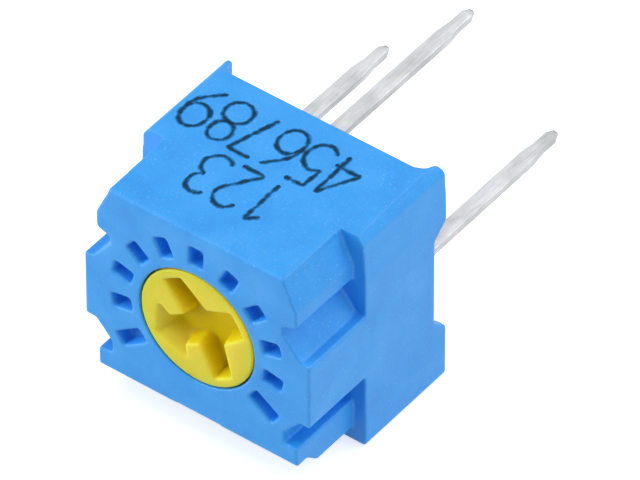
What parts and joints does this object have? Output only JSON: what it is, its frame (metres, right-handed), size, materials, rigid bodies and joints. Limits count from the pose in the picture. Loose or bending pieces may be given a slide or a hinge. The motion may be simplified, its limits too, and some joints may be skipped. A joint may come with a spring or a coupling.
{
  "type": "trimmer potentiometer",
  "caption": "Small square trimmer potentiometer: a screwdriver-set rotor with an arrow and a sunk dial in front, flat board pins and corner standoffs behind.",
  "frame": {"origin": "on the board seat, the plane of the four standoff tips, at the middle of the width and at the level of the base side; this is also the bottom centre of the bounding box", "axes": "+Y from the rotor's face through the body towards the pin tips, square to the board; +Z from the base side up to the side that carries the print; +X to the right, seen from the rotor's side"},
  "size_m": [0.0066, 0.0108, 0.0068],
  "materials": {
    "blue_plastic": "moulded, satin",
    "yellow_plastic": "moulded, satin",
    "seal_rubber": "matt silicone",
    "spring_metal": "plated spring strip",
    "alumina": "fired, matt",
    "cermet": "fired film, matt",
    "silver_film": "fired metal film",
    "contact_metal": "bright",
    "tinned_metal": "tin-plated copper alloy, satin",
    "solder": "solidified, bright",
    "sealing_resin": "cured epoxy, glossy"
  },
  "bodies": {
    "casing": {"housing": "blue_plastic", "substrate": "alumina", "resistive_track": "cermet", "end_pad_left": "silver_film", "end_pad_right": "silver_film", "collector_button": "contact_metal", "terminal_1": "tinned_metal", "terminal_2": "tinned_metal", "terminal_3": "tinned_metal", "solder_1": "solder", "solder_2": "solder", "solder_3": "solder", "back_seal": "sealing_resin"},
    "rotor": {"rotor": "yellow_plastic", "o_ring": "seal_rubber", "wiper": "spring_metal"}
  },
  "joints": [
    {"name": "rotor_turn", "type": "hinge", "parent": "casing", "child": "rotor", "pos_m": [0, -0.00541, 0.00363], "axis": [0, 1, 0], "range_deg": [-8, 252]}
  ]
}
